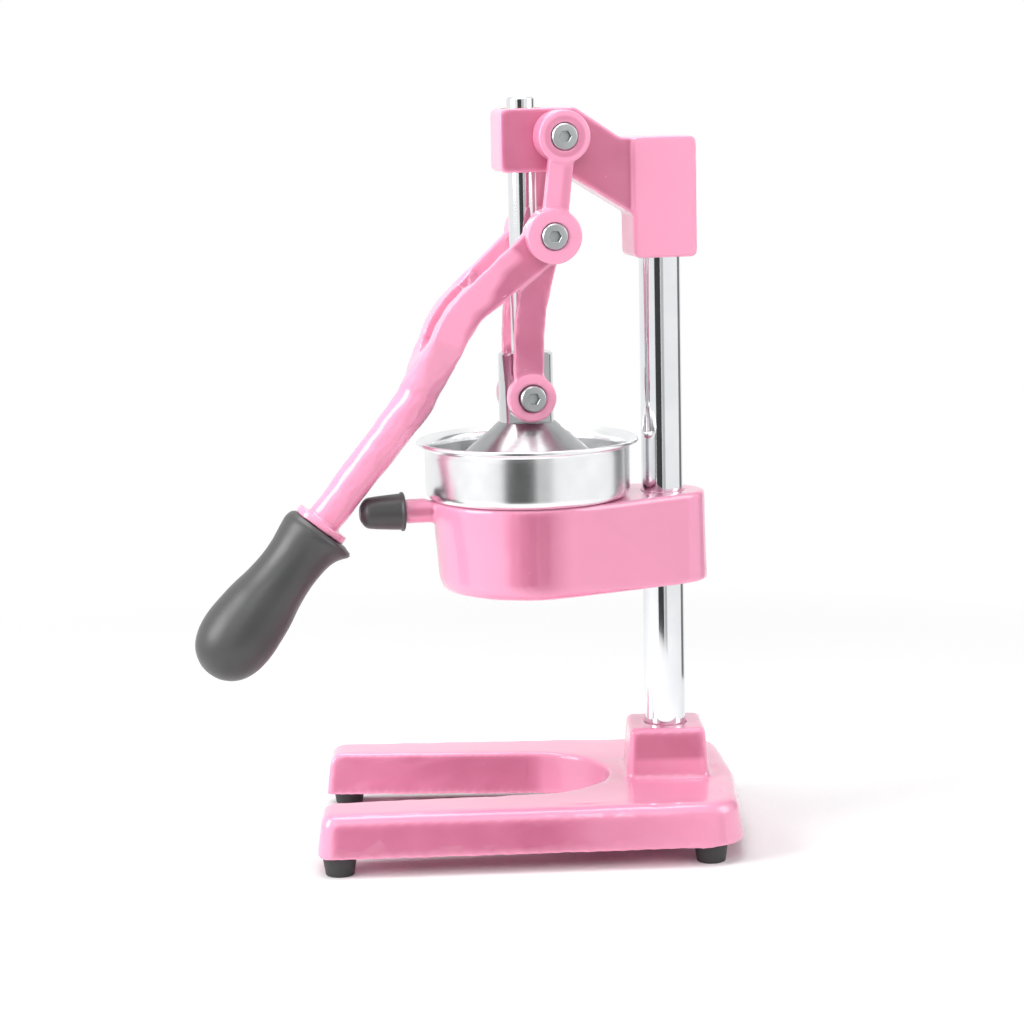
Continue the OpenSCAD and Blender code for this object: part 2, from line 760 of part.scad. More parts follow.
// the column between the rod and the bell, with a flat on each side for the lever's arms
module column() {
    color(chrome) rod_frame() difference() {
        union() {
            translate([0, 0, bell_z]) cylinder(r = column_r, h = column_h - chamfer);
            translate([0, 0, bell_z + column_h - chamfer])
                cylinder(r1 = column_r, r2 = column_r - chamfer, h = chamfer);
        }
        for (side = [-1, 1])
            translate([-column_r, side > 0 ? flat_half : -flat_half - column_r, bell_z - eps])
                cube([2 * column_r, column_r, column_h + 2 * eps]);
        translate([0, 0, rod_foot]) cylinder(r = rod_r + fit, h = column_h);
        translate([0, 0, low_z]) along_y(bolt_r + fit, -column_r, column_r);
        translate([0, 0, bell_z - eps]) cylinder(r = bell_screw_r + fit, h = bell_screw_in);
    }
}

// the steel bell that presses the fruit
module press_bell() {
    color(steel) rod_frame() difference() {
        rotate_extrude() polygon([[0, bell_z], [bell_neck_r, bell_z],
            [bell_knee_r, bell_knee_z], [bell_r, bell_z - bell_h],
            [bell_r - bell_t, bell_z - bell_h], [bell_knee_r - bell_t * 0.6, bell_knee_z - bell_t],
            [bell_neck_r - bell_t * 0.4, bell_z - bell_t], [0, bell_z - bell_t]]);
        translate([0, 0, bell_z - bell_t - eps])
            cylinder(r = bell_screw_r + fit, h = bell_t + 2 * eps);
    }
}

module bell_screw() {
    color(steel) rod_frame() translate([0, 0, bell_z - bell_t])
        socket_bolt(bell_screw_r, bell_t + bell_screw_in * 0.9, bell_head_r, bell_head_h,
            bell_screw_r * 0.8);
}

// a frame whose +Z runs along the stem's path, with +X to its upper side
module on_path(x, z, lean) {
    pivot(x, z) rotate([0, -90 - lean, 0]) children();
}

// sweeps a section about a centre in the plane of the linkage, between two angles
module bend(cx, cz, r, from, to) {
    pivot(cx, cz) rotate([90, 0, 0]) rotate([0, 0, from])
        rotate_extrude(angle = to - from, $fn = 2 * hull_fn) translate([r, 0]) children();
}

// one arm of the lever below the elbow, bowed to the front and toed in to the column
module lever_arm(side) {
    pivot(elbow_x, elbow_z) mirror([0, side < 0 ? 1 : 0, 0])
        rotate([0, rest_lean, 0]) translate([0, arm_top_mid, 0]) rotate([-arm_toe, 0, 0])
            translate([bow_r - arm_bow, 0, -arm_len / 2]) rotate([90, 0, 0])
                rotate([0, 0, 180 - bow_half])
                    rotate_extrude(angle = 2 * bow_half, $fn = 4 * hull_fn)
                        translate([bow_r - arm_w / 2, -arm_t / 2]) square([arm_w, arm_t]);
}

// one side of the lever: the hub at the elbow, the fork's branch, the arm and its boss
module lever_side(side) {
    pivot(elbow_x, elbow_z) along_y(elbow_r, cheek_in, cheek_out, side);
    on_path(elbow_x, elbow_z, stem_lean)
        translate([0, side * cheek_mid + branch_t / 2, 0]) rotate([90, 0, 0])
            linear_extrude(branch_t)
                polygon([[fork_rise - fork_w, 0], [fork_rise + fork_lift, 0], [fork_rise, fork_run],
                    [fork_rise, fork_run + seam], [fork_rise - fork_w, fork_run + seam]]);
    on_path(elbow_x, elbow_z, stem_lean) mirror([0, side < 0 ? 1 : 0, 0])
        translate([fork_rise - 2 * inset, 0, 0]) rotate([0, -90, 0])
            linear_extrude(fork_w - 4 * inset)
                polygon([[throat_run, cheek_mid], [throat_run, cheek_in + inset],
                    [fork_run, notch_r + 2 * inset], [fork_run + 2 * seam, notch_r + 2 * inset],
                    [fork_run + 2 * seam, cheek_mid]]);
    bend(bend_cx, bend_cz, bend_r, 90 + stem_lean, 90 + bend_lean)
        mirror([0, side > 0 ? 1 : 0]) translate([fork_rise - fork_w + inset, throat_in])
            square([fork_w - 2 * inset, cheek_out - 1.5 * inset - throat_in]);
    lever_arm(side);
    pivot(0, low_z) along_y(low_r, low_in, low_out, side);
}

// the crotch where the two branches join the round stem
module crotch() {
    hull() {
        on_path(crotch_x, crotch_z, bend_lean)
            translate([2 * inset - fork_w + fork_rise, 2 * inset - cheek_out, -seam])
                cube([fork_w - 4 * inset, 2 * (cheek_out - 2 * inset), slab_t + seam]);
        on_path(mid_x, mid_z, bend_lean) cylinder(r = neck_r, h = slab_t, $fn = 2 * hull_fn);
    }
}

// the cast lever: a fork over the press, a bent stem, a collar and a tang for the grip
module lever() {
    color(paint) difference() {
        union() {
            lever_side(-1);
            lever_side(1);
            crotch();
            bend(back_cx, back_cz, back_r, last_lean - 90 - seam_turn, bend_lean - 90 + seam_turn)
                circle(r = 0.99 * neck_r, $fn = 2 * hull_fn);
            on_path(last_x, last_z, last_lean) translate([0, 0, -seam])
                cylinder(r1 = neck_r, r2 = stem_r, h = seam + last_run + collar_t / 2);
            on_path(collar_x, collar_z, grip_lean) cylinder(r = collar_r, h = collar_t);
            on_path(collar_x, collar_z, grip_lean) cylinder(r = tang_r, h = collar_t + tang_len);
        }
        on_path(crotch_x, crotch_z, bend_lean) rotate([0, 90, 0])
            cylinder(r = notch_r, h = 2 * fork_w, center = true);
        pivot(elbow_x, elbow_z) along_y(bolt_r + fit, -cheek_out - eps, cheek_out + eps);
        pivot(0, low_z) along_y(turn_r, -low_out - eps, low_out + eps);
        pivot(0, low_z) along_y(bolt_seat_r, low_seat, low_out + eps, -1);
    }
}

// the moulded grip, with a larger lip on its lower side and a blind hole for the tang
module grip() {
    color(rubber) on_path(grip_x, grip_z, grip_lean) difference() {
        union() {
            rotate_extrude() polygon(concat([[0, 0]],
                [for (p = grip_shares) [p[1] * grip_r, p[0] * grip_len]]));
            translate([-lip_shift, 0, 0]) rotate_extrude() polygon(concat(
                [[0, lip_shares[0][0] * grip_len]],
                [for (p = lip_shares) [p[1] * grip_r, p[0] * grip_len]],
                [[0, lip_shares[len(lip_shares) - 1][0] * grip_len]]));
        }
        translate([0, 0, -eps]) cylinder(r = tang_r + fit, h = tang_len + eps);
    }
}

// one link from the head's pivot to the elbow, with a boss at each end
module link(side, seat) {
    color(paint) difference() {
        union() {
            pivot(pivot_back, pivot_z) along_y(boss_r, boss_in, boss_out, side);
            pivot(elbow_x, elbow_z) along_y(elbow_r, link_in, elbow_out, side);
            on_path(pivot_back, pivot_z, 90 - rest_lean)
                translate([-link_w / 2, side < 0 ? -link_out : link_in, 0])
                    cube([link_w, link_t, link_len]);
        }
        pivot(pivot_back, pivot_z) along_y(turn_r, boss_in - eps, boss_out + eps, side);
        pivot(pivot_back, pivot_z) along_y(seat, top_seat, boss_out + eps, side);
        pivot(elbow_x, elbow_z) along_y(turn_r, link_in - eps, elbow_out + eps, side);
        pivot(elbow_x, elbow_z) along_y(bolt_seat_r, elbow_seat, elbow_out + eps, side);
    }
}

module link_near() {
    link(-1, bolt_seat_r);
}

module link_far() {
    link(1, nut_seat_r);
}

// a socket head bolt along +Y, its head on the near side at y0
module pivot_bolt(y0, len) {
    translate([0, y0, 0]) rotate([-90, 0, 0])
        socket_bolt(bolt_r, len, bolt_head_r, bolt_head_h, bolt_key_r);
}

// a hexagon nut on the far side, from y0 outwards
module pivot_nut(y0) {
    translate([0, y0, 0]) rotate([-90, 0, 0]) difference() {
        cylinder(r = nut_r, h = nut_h, $fn = hex_sides);
        translate([0, 0, -eps]) cylinder(r = bolt_r + fit, h = nut_h + 2 * eps);
    }
}

module top_pivot_bolt() {
    color(steel) pivot(pivot_back, pivot_z)
        pivot_bolt(-top_seat - side_gap, 2 * (top_seat + side_gap) + nut_h + bolt_tail);
}

module top_pivot_nut() {
    color(steel) pivot(pivot_back, pivot_z) pivot_nut(top_seat + side_gap);
}

// the two short bolts that hold the links to the lever's cheeks
module elbow_bolts() {
    color(steel) pivot(elbow_x, elbow_z)
        for (side = [0, 1])
            mirror([0, side, 0])
                pivot_bolt(-elbow_seat - side_gap, elbow_seat + side_gap - cheek_in);
}

module lower_pivot_bolt() {
    color(steel) pivot(0, low_z)
        pivot_bolt(-low_seat - side_gap, low_seat + low_out + 2 * side_gap + nut_h + bolt_tail);
}

module lower_pivot_nut() {
    color(steel) pivot(0, low_z) pivot_nut(low_out + side_gap);
}

base();
foot_near_front();
foot_far_front();
foot_near_rear();
foot_far_rear();
foot_screws();
post();
post_bolt();
post_washer();
head();
head_set_screw();
guide_bush();
holder();
holder_set_screw();
holder_knob();
juice_bowl();
strainer();
guide_rod();
column();
press_bell();
bell_screw();
lever();
grip();
link_near();
link_far();
top_pivot_bolt();
top_pivot_nut();
elbow_bolts();
lower_pivot_bolt();
lower_pivot_nut();
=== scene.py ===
# %% [markdown]
# # Dressing a lever citrus juice press
# The press is already there as an exact model: a cast base, a steel post, a bowl in its holder, a head
# that guides the press rod, and a long lever that drives the rod through two links. This lesson gives it
# the look of the real thing: gloss enamel over rough castings, polished steel, moulded rubber.
# The first cell loads the model as a fixed frame. Nothing in it is moved: a piece that needs a softer
# shape gets a new mesh in the same place, and stands for the old one.

# %% Load the frame
import json
import math

import bmesh
import bpy
from mathutils import Matrix, Vector, noise

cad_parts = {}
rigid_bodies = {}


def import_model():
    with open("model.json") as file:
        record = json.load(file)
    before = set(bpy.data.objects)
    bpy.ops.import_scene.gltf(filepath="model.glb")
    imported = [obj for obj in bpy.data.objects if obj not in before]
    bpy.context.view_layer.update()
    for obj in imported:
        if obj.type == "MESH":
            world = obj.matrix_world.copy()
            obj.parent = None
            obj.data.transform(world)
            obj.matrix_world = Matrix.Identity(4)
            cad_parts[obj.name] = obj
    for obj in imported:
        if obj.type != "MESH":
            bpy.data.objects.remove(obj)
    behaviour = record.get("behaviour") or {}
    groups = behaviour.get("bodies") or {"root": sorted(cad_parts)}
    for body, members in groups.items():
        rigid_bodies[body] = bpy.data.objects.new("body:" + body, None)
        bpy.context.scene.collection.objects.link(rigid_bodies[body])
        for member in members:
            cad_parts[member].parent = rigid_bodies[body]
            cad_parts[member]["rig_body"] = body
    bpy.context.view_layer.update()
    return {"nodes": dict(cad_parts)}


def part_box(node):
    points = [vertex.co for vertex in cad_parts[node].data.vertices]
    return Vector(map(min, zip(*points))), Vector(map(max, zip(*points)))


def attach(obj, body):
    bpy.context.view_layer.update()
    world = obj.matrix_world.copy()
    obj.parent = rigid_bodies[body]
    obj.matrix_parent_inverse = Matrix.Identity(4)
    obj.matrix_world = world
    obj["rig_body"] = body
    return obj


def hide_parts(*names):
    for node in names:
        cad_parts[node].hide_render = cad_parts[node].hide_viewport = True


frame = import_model()

# %% [markdown]
# Every place on the press is easiest to give from the axis of the press rod, in millimetres, because that
# is how the maker would set it out: x towards the post, z up from the table. The axis comes from the rod
# itself, so no number is typed twice.

# %% The rod's axis is the ruler
def middle(node):
    low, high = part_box(node)
    return (low + high) / 2


ROD = middle("guide_rod")
POST = middle("post")


def at(x, y, z):
    """A point in metres, from millimetres measured from the rod's axis."""
    return Vector((ROD.x + x / 1000, ROD.y + y / 1000, z / 1000))


REACH = 1000 * (POST.x - ROD.x)
print("the post stands %.1f mm behind the rod" % REACH)

# %% [markdown]
# ## The camera
# The press was photographed from its left side, a little from the front and a little from above, with a
# long lens. The place and the lens were worked out from edges of known size, such as the post and the
# bowl's rim, so the camera is written down as a frame of three directions.

# %% The camera
RIGHT, UP, AHEAD = (Vector((0.980385, -0.196032, -0.020423)), Vector((0.049992, 0.147098, 0.987858)),
                    Vector((0.190647, 0.969502, -0.154012)))
PIXELS, FOCAL = 1024, 2868.2

lens = bpy.data.cameras.new("long_lens")
lens.sensor_width = 36.0
lens.lens = FOCAL / PIXELS * lens.sensor_width
lens.clip_end = 50
camera = bpy.data.objects.new("camera", lens)
bpy.context.scene.collection.objects.link(camera)
turn = Matrix((RIGHT, UP, -AHEAD)).transposed().to_4x4()
camera.matrix_world = Matrix.Translation(at(-370.542 + REACH, -1468.116, 410.997)) @ turn
bpy.context.scene.camera = camera
print("lens %.1f mm, standing at %s" % (lens.lens, [round(v, 3) for v in camera.location]))

# %% [markdown]
# ## Sums with sockets
# A shader is a small sum over a surface: this much grain, less of it near that edge. Node by node such a
# sum is long to write. The class below holds one output socket and lets Python's own signs make the Math
# nodes, also when a plain number stands first, as in 1 - mask. One function makes every other node: its
# kind, its settings, and what goes into its sockets.

# %% A wire between nodes
class Wire:
    def __init__(self, tree, socket):
        self.tree, self.socket = tree, socket

    def maths(self, operation, *values, clamp=False):
        return node(self.tree, "ShaderNodeMath", {"operation": operation, "use_clamp": clamp},
                    dict(enumerate(values)))

    def __add__(self, other): return self.maths("ADD", self, other)
    def __radd__(self, other): return self.maths("ADD", other, self)
    def __sub__(self, other): return self.maths("SUBTRACT", self, other)
    def __rsub__(self, other): return self.maths("SUBTRACT", other, self)
    def __mul__(self, other): return self.maths("MULTIPLY", self, other)
    def __rmul__(self, other): return self.maths("MULTIPLY", other, self)
    def __truediv__(self, other): return self.maths("DIVIDE", self, other)
    def __pow__(self, other): return self.maths("POWER", self, other)

    def sine(self): return self.maths("SINE", self)
    def unsigned(self): return self.maths("ABSOLUTE", self)
    def held(self): return self.maths("ADD", self, 0, clamp=True)

    def between(self, low, high):
        """0 below low, 1 above high, a straight climb in between."""
        return self.maths("MULTIPLY", self - low, 1 / (high - low), clamp=True)


def node(tree, kind, settings=None, sockets=None, out=0):
    made = tree.nodes.new(kind)
    for key, value in (settings or {}).items():
        setattr(made, key, value)
    for key, value in (sockets or {}).items():
        if isinstance(value, Wire):
            tree.links.new(value.socket, made.inputs[key])
        else:
            made.inputs[key].default_value = value
    return Wire(tree, made.outputs[out]) if made.outputs else None


# %% [markdown]
# Colours are picked on a screen, and a shader wants them as light. The first helper below turns
# one into the other. The others are the words of this lesson: a fresh material with its place on the
# object, grain of a given size in millimetres, a blend of two colours, and a surface raised by a height
# given in millimetres.

# %% Words for the shaders
def shade(red, green, blue):
    light = [c / 12.92 if c <= 0.04045 else ((c + 0.055) / 1.055) ** 2.4
             for c in (red / 255, green / 255, blue / 255)]
    return (*light, 1.0)


def fresh(name):
    material = bpy.data.materials.new(name)
    material.use_nodes = True
    tree = material.node_tree
    tree.nodes.clear()
    place = node(tree, "ShaderNodeTexCoord", out="Object")
    return material, tree, place


def grain(tree, place, size, detail=2.0, rough=0.5):
    """Cloudy noise from 0 to 1 whose blobs are about size millimetres wide."""
    return node(tree, "ShaderNodeTexNoise", {}, {"Vector": place, "Scale": 1000 / size, "Detail": detail,
                                                 "Roughness": rough})


def parts(tree, vector):
    """The x, y and z of a vector, as three wires."""
    split = node(tree, "ShaderNodeSeparateXYZ", {}, {0: vector}).socket.node
    return [Wire(tree, socket) for socket in split.outputs]


def stretched(tree, place, x, y, z):
    return node(tree, "ShaderNodeVectorMath", {"operation": "MULTIPLY"}, {0: place, 1: (x, y, z)})


def blend(tree, mask, first, second):
    return node(tree, "ShaderNodeMix", {"data_type": "RGBA"}, {0: mask, 6: first, 7: second}, out=2)


def raised(tree, height, amount):
    """A normal from a height in millimetres."""
    return node(tree, "ShaderNodeBump", {}, {"Strength": amount, "Distance": 0.001, "Height": height})


def surface(material, tree, **sockets):
    names = {key.replace("_", " "): value for key, value in sockets.items()}
    made = node(tree, "ShaderNodeBsdfPrincipled", {}, names)
    node(tree, "ShaderNodeOutputMaterial", {}, {"Surface": made})
    print("finish:", material.name, "-", len(tree.nodes), "nodes")
    return material


# %% [markdown]
# ## Pink enamel
# The castings are rough iron under one thick coat of gloss enamel. The light wanders a little over faces
# that should be flat, because the sand mould wasn't, and the coat has a fine orange peel. The colour carries
# painted light: broad sides that look to the near or far side get a painted shade of deeper pink, tops keep
# the paler pink, and edges get a painted highlight. So the shader asks two things of every point: does its
# face look to the side, and is it on an edge? Each casting also names its places of painted light, such as
# raised bosses.

# %% Enamel
# The deep pink is painted shade on side-facing faces; the rim pink is painted highlight on edges and lit
# places.
SHADED_PINK, PALE, HIGHLIGHT_PINK = shade(191, 97, 131), shade(239, 151, 185), shade(249, 159, 193)
SHADE_FACING = (0.89, 0.98)
HIGHLIGHT_EDGES = (0.502, 0.53)


def enamel(name, pale):
    """pale(x, y, z) gives the mask of painted light, with x, y, z in mm from the rod's axis."""
    material, tree, place = fresh(name)
    face_y = parts(tree, node(tree, "ShaderNodeTexCoord", out="Normal"))[1]
    x, y, z = parts(tree, place)
    # Painted shade: faces that look to the near or far side turn deep pink, a little unevenly.
    flat = face_y.unsigned().between(*SHADE_FACING)
    cloud = grain(tree, place, 30, 3).between(0.3, 0.75)
    colour = blend(tree, flat * (cloud * 0.25 + 0.75), PALE, SHADED_PINK)
    # Painted light: the places each casting names turn rim pink.
    painted_light_mask = pale((x - ROD.x) * 1000, (y - ROD.y) * 1000, z * 1000)
    colour = blend(tree, painted_light_mask * flat, colour, HIGHLIGHT_PINK)
    # Painted highlight: sharp edges turn rim pink.
    edge = node(tree, "ShaderNodeNewGeometry", out="Pointiness").between(*HIGHLIGHT_EDGES)
    colour = blend(tree, edge * 0.6, colour, HIGHLIGHT_PINK)
    specks = grain(tree, place, 2.6, 2, 0.6).between(0.73, 0.78)
    colour = blend(tree, specks * 0.35, colour, HIGHLIGHT_PINK)
    mould = grain(tree, place, 17, 2, 0.45)
    sand = grain(tree, place, 5.5, 3, 0.55)
    peel = grain(tree, place, 1.3, 1)
    height = mould * 0.3 + sand * 0.1 + peel * 0.006
    return surface(material, tree, Base_Color=colour, Roughness=grain(tree, place, 9, 2) * 0.12 + 0.28,
                   Coat_Weight=0.85, Coat_Roughness=0.06, Normal=raised(tree, height, 0.6))


def within(x, z, centre, radius):
    """1 inside a circle in the plane of the lever, 0 outside."""
    far = ((x - centre[0]) * (x - centre[0]) + (z - centre[1]) * (z - centre[1])) ** 0.5
    return 1 - far.between(radius - 0.4, radius + 0.6)


TOP_PIVOT, ELBOW, LOW_PIVOT = (16.5, 374.5), (10.3125, 323.877), (0.0, 239.505)

# %% [markdown]
# Each mask of painted light below is written in millimetres from the rod's axis. The two numbers of a place
# say where the change of tone begins and where it is complete, so that no line is sharper than the enamel
# would be.
# A disc is given by its radius, and the band on the arm by a point on its edge and by the arm's slope.

# %% Where painted light makes the enamel pale
SLEEVE_FRONT = (54.5, 57)
HOLDER_TURN, HOLDER_CORNER = (0, 16), (80, 86)
BASE_LENGTH, SOCKET_FOOT = (-5, 95), (42, 45)
LINK_DISC, WAIST_FOOT, WAIST_TOP = 10.5, (334, 338), (358, 362)
ELBOW_DISC, LOW_DISC = 13.4, 12.7
INNER_SIDE, FORK_FOOT = (17, 18), (262, 266)
FORWARD, DOWN = 0.599, 0.801
BAND_EDGE = (-8.863, 311.717)
BAND_SOFT, BAND_START, BAND_END = (-2.6, 1.8), (16, 19), (58, 86)


def painted_light_head(x, y, z):
    """Painted light on the sleeve block on the post."""
    return x.between(*SLEEVE_FRONT)


def painted_light_link(x, y, z):
    """Painted light over all of the link, less at its upper disc and at the rear half of its waist."""
    lean = (TOP_PIVOT[0] - ELBOW[0]) / (TOP_PIVOT[1] - ELBOW[1])
    behind = (x - ELBOW[0] - (z - ELBOW[1]) * lean).between(0.5, 2.5)
    waist = z.between(*WAIST_FOOT) * (1 - z.between(*WAIST_TOP))
    return 1 - within(x, z, TOP_PIVOT, LINK_DISC) * 0.6 - behind * waist * 0.45


def painted_light_lever(x, y, z):
    """Painted light on the bosses and inside the fork, and a ragged painted highlight band along the arm's
    top, widening to the stem.
    """
    bosses = within(x, z, ELBOW, ELBOW_DISC) + within(x, z, LOW_PIVOT, LOW_DISC)
    inside = (1 - y.unsigned().between(*INNER_SIDE)) * z.between(*FORK_FOOT)
    ragged = (x * 0.21 + z * 0.13).sine() * 0.9 + (z * 0.61).sine() * 0.4
    above = (z - BAND_EDGE[1]) * FORWARD - (x - BAND_EDGE[0]) * DOWN + ragged
    along = (ELBOW[0] - x) * FORWARD + (ELBOW[1] - z) * DOWN
    band = above.between(*BAND_SOFT) * along.between(*BAND_START) + along.between(*BAND_END) * 0.8
    return (bosses + inside + band).held()


def painted_light_holder(x, y, z):
    """Painted light from the rod's axis to the rear, less at the rear corner."""
    return x.between(*HOLDER_TURN) * (1 - x.between(*HOLDER_CORNER) * 0.6)


def painted_light_base(x, y, z):
    """Painted light, more and more to the rear, up to the foot of the socket block."""
    return x.between(*BASE_LENGTH) * 0.85 * (1 - z.between(*SOCKET_FOOT))


BASE_ENAMEL = enamel("pink_enamel_base", painted_light_base)
HOLDER_ENAMEL = enamel("pink_enamel_holder", painted_light_holder)
HEAD_ENAMEL = enamel("pink_enamel_head", painted_light_head)
LINK_ENAMEL = enamel("pink_enamel_link", painted_light_link)
LEVER_ENAMEL = enamel("pink_enamel_lever", painted_light_lever)

# %% [markdown]
# ## Rubber
# The grip and the knob are moulded in dark grey rubber with a satin skin, and the feet in a blacker,
# duller one. Moulded rubber has a very fine even grain, and hands polish the high places, so the
# roughness wanders slowly over the grip while the grain stays the same size.

# %% Rubber
def rubber(name, dark, light, dull, grain_size):
    material, tree, place = fresh(name)
    worn = grain(tree, place, 22, 3).between(0.3, 0.75)
    skin = grain(tree, place, grain_size, 2, 0.6)
    dust = grain(tree, place, 1.1, 2, 0.7).between(0.66, 0.8)
    colour = blend(tree, worn, dark, light)
    colour = blend(tree, dust * 0.18, colour, shade(120, 120, 122))
    height = skin * 0.05 + grain(tree, place, 14, 1) * 0.1
    return surface(material, tree, Base_Color=colour, Roughness=dull - worn * 0.08 + skin * 0.06,
                   Normal=raised(tree, height, 0.5))


GRIP_RUBBER = rubber("satin_rubber", shade(64, 64, 65), shade(73, 73, 74), 0.39, 0.7)
FOOT_RUBBER = rubber("dull_rubber", shade(50, 50, 51), shade(58, 58, 59), 0.62, 0.9)

# %% [markdown]
# ## Steel
# Several kinds of metal show: the post and the rod are ground bars with a chrome finish, the bowl is spun
# and polished stainless sheet, the bell is pressed stainless darkened as painted shade for the dark
# underside it mirrors, the column is plain turned steel, the bolts are zinc plated, and the bush is bronze.
# They differ in colour and shine, and most of all in the direction of their marks: along a drawn bar, but in
# rings on a spun or turned piece.

# %% Metals
def rings(tree, place, x, y):
    """A place measured as (distance from a vertical axis, height), in metres."""
    east, north, up = parts(tree, place)
    across, along = east - x, north - y
    radius = (across * across + along * along) ** 0.5
    return node(tree, "ShaderNodeCombineXYZ", {}, {0: radius, 1: up, 2: 0.0})


def metal(name, colour, tint, dull, marks, mark_size, mark_depth, marks_dull):
    material, tree, place = fresh(name)
    where = marks(tree, place)
    lines = grain(tree, where, mark_size, 3, 0.6)
    smudge = grain(tree, place, 16, 3)
    shine = blend(tree, smudge.between(0.35, 0.75), colour, tint)
    return surface(material, tree, Base_Color=shine, Metallic=1.0,
                   Roughness=dull + lines * marks_dull + smudge.between(0.4, 0.8) * 0.03,
                   Normal=raised(tree, lines * mark_depth, 0.5))


def drawn(tree, place): return stretched(tree, place, 1, 1, 0.02)
def spun(tree, place): return rings(tree, place, ROD.x, ROD.y)
def plain(tree, place): return place


CHROME = metal("chrome_plate", shade(228, 230, 233), shade(236, 237, 239), 0.05, drawn, 1.2, 0.002, 0.05)
SPUN = metal("spun_stainless", shade(236, 237, 238), shade(244, 245, 246), 0.18, spun, 0.8, 0.002, 0.1)
# The bell's darker colour is painted shade for the dark underside it mirrors.
PRESSED = metal("pressed_stainless", shade(158, 160, 161), shade(176, 177, 178), 0.18, spun, 1.0, 0.003, 0.1)
TURNED = metal("turned_steel", shade(208, 210, 212), shade(222, 224, 226), 0.05, drawn, 0.9, 0.003, 0.08)
ZINC = metal("zinc_plate", shade(176, 180, 182), shade(196, 199, 200), 0.3, plain, 1.5, 0.01, 0.12)
BRONZE = metal("bush_bronze", shade(196, 158, 98), shade(178, 138, 80), 0.28, spun, 0.6, 0.004, 0.12)

# %% [markdown]
# ## Making meshes
# Three ways of making a mesh give every piece but the grip. A turned piece is a profile swept round an
# axis. A sheet piece can be turned too, from a profile that is a line and gets the sheet's thickness. A
# casting starts from the exact model: the mesh is rebuilt from small cubes, which forgets every sharp
# edge, and then relaxed, so the edges and inner corners get the round form that sand and enamel give them.

# %% Objects from points
def to_object(name, points, faces, finish, sharp=32):
    mesh = bpy.data.meshes.new(name)
    mesh.from_pydata([tuple(p) for p in points], [], faces)
    mesh.update()
    return dress(bpy.data.objects.new(name, mesh), finish, sharp)


def dress(piece, finish, sharp=32):
    """Puts a piece in the scene with its finish, outward faces and soft shading."""
    if piece.name not in bpy.context.scene.collection.objects:
        bpy.context.scene.collection.objects.link(piece)
    work = bmesh.new()
    work.from_mesh(piece.data)
    bmesh.ops.remove_doubles(work, verts=work.verts, dist=1e-6)
    bmesh.ops.recalc_face_normals(work, faces=work.faces)
    work.to_mesh(piece.data)
    work.free()
    piece.data.shade_smooth()
    piece.data.set_sharp_from_angle(angle=math.radians(sharp))
    piece.data.materials.clear()
    piece.data.materials.append(finish)
    return piece


# %% Profiles with rounded corners
def rounded(corners, steps=5, closed=False):
    """corners are (r, z, round): the corner is replaced by a curve of about that radius."""
    line, count = [], len(corners)
    for i, (r, z, curve) in enumerate(corners):
        here = Vector((r, z))
        if curve == 0 or (not closed and i in (0, count - 1)):
            line.append(here)
            continue
        back = Vector(corners[i - 1][:2]) - here
        on = Vector(corners[(i + 1) % count][:2]) - here
        half = back.angle(on) / 2
        run = min(curve / math.tan(half), 0.48 * back.length, 0.48 * on.length)
        a, b = here + back.normalized() * run, here + on.normalized() * run
        for k in range(steps + 1):
            t = k / steps
            line.append(a * (1 - t) ** 2 + here * 2 * t * (1 - t) + b * t * t)
    return line


def thickened(line, thickness):
    """A closed outline round an open line, half the thickness to each side, with round ends."""
    left, right = [], []
    for i, p in enumerate(line):
        along = (line[min(i + 1, len(line) - 1)] - line[max(i - 1, 0)]).normalized()
        side = Vector((-along.y, along.x)) * thickness / 2
        left.append(p + side)
        right.append(p - side)
    first = (line[0] - line[1]).normalized() * thickness / 3
    last = (line[-1] - line[-2]).normalized() * thickness / 3
    return left + [line[-1] + last] + right[::-1] + [line[0] + first]


# %% Turning a profile
def hexagon(turned_by):
    """How far a hexagon's side lies at that angle, as a share of its corner's distance."""
    return math.cos(math.pi / 6) / math.cos((turned_by % (math.pi / 3)) - math.pi / 6)


def turned(name, profile, centre, finish, axis=(0, 0, 1), closed=False, around=96, sharp=32, form=None):
    """profile is a line of (r, z) in mm along the axis. form(i, angle) may change a ring's radius."""
    spin = Vector((0, 0, 1)).rotation_difference(Vector(axis)).to_matrix()
    points, rows = [], []
    for i, (r, z) in enumerate(profile):
        if r < 1e-6:
            rows.append([len(points)])
            points.append(centre + spin @ Vector((0, 0, z)) / 1000)
            continue
        rows.append(list(range(len(points), len(points) + around)))
        for k in range(around):
            angle = 2 * math.pi * k / around
            far = r * (form(i, angle) if form else 1)
            points.append(centre + spin @ Vector((far * math.cos(angle), far * math.sin(angle), z)) / 1000)
    faces = []
    pairs = list(zip(rows, rows[1:])) + ([(rows[-1], rows[0])] if closed else [])
    for a, b in pairs:
        for k in range(around):
            j = (k + 1) % around
            if len(a) == 1 and len(b) == 1:
                continue
            if len(a) == 1:
                faces.append((a[0], b[j], b[k]))
            elif len(b) == 1:
                faces.append((a[k], a[j], b[0]))
            else:
                faces.append((a[k], a[j], b[j], b[k]))
    return to_object(name, points, faces, finish, sharp)


